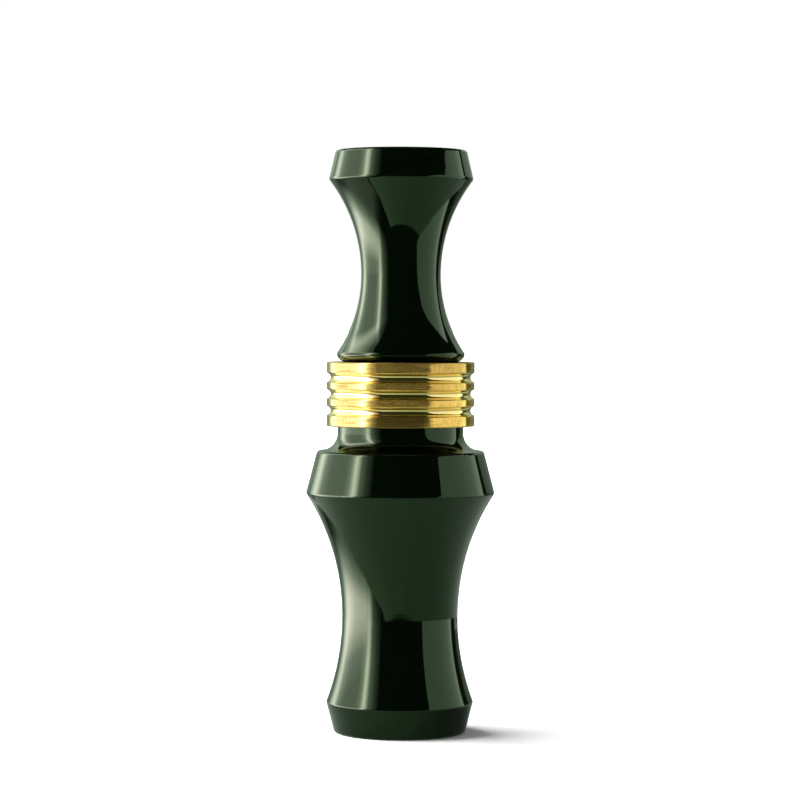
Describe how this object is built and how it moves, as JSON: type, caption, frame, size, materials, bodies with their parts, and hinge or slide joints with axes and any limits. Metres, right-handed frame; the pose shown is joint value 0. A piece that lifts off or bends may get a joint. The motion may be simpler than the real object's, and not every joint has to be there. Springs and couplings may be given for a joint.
{
  "type": "duck call",
  "caption": "Reed-type duck call: a turned barrel with a grooved brass band, and a pull-out insert carrying a tone board with cork-wedged reeds.",
  "frame": {"origin": "centre of the mouthpiece rim's plane, which the call stands on", "axes": "+Z along both bores, from the mouthpiece to the exhaust; -Y is the side that the reeds face; +X makes it right-handed"},
  "size_m": [0.0384, 0.0384, 0.1184],
  "materials": {
    "green_polymer": "polished, very dark green acrylic",
    "board_polymer": "machined and sanded dark green acrylic, satin",
    "brass": "turned and polished",
    "reed_film": "frosted polyester film",
    "cork": "fine-grained agglomerated cork",
    "ring_rubber": "black nitrile rubber, slightly greased"
  },
  "bodies": {
    "barrel": {"barrel": "green_polymer", "brass_band": "brass"},
    "o_rings": {"front_o_ring": "ring_rubber", "rear_o_ring": "ring_rubber"},
    "insert": {"insert": "green_polymer", "tone_board": "board_polymer"},
    "lower_reed": {"lower_reed": "reed_film"},
    "upper_reed": {"upper_reed": "reed_film"},
    "wedge": {"cork_wedge": "cork"}
  },
  "joints": [
    {"name": "insert_pull", "type": "slide", "parent": "barrel", "child": "o_rings", "axis": [0, 0, 1], "range_m": [0, 0.065]},
    {"name": "insert_turn", "type": "hinge", "parent": "o_rings", "child": "insert", "pos_m": [0, 0, 0.0755], "axis": [0, 0, 1], "continuous": true},
    {"name": "lower_reed_flex", "type": "hinge", "parent": "insert", "child": "lower_reed", "pos_m": [0, -0.0009, 0.0575], "axis": [1, 0, 0], "range_deg": [-1.6, 1.5], "stiffness_Nm_per_rad": 0.0042, "deforming": ["lower_reed"]},
    {"name": "upper_reed_flex", "type": "hinge", "parent": "insert", "child": "upper_reed", "pos_m": [0, -0.00117, 0.0575], "axis": [1, 0, 0], "range_deg": [-1.6, 1.5], "stiffness_Nm_per_rad": 0.0042, "deforming": ["upper_reed"]},
    {"name": "wedge_slide", "type": "slide", "parent": "insert", "child": "wedge", "axis": [0, 0, -1], "range_m": [0, 0.012]}
  ],
  "couplings": [
    {"joint": "upper_reed_flex", "follows": "lower_reed_flex", "ratio": 1}
  ]
}
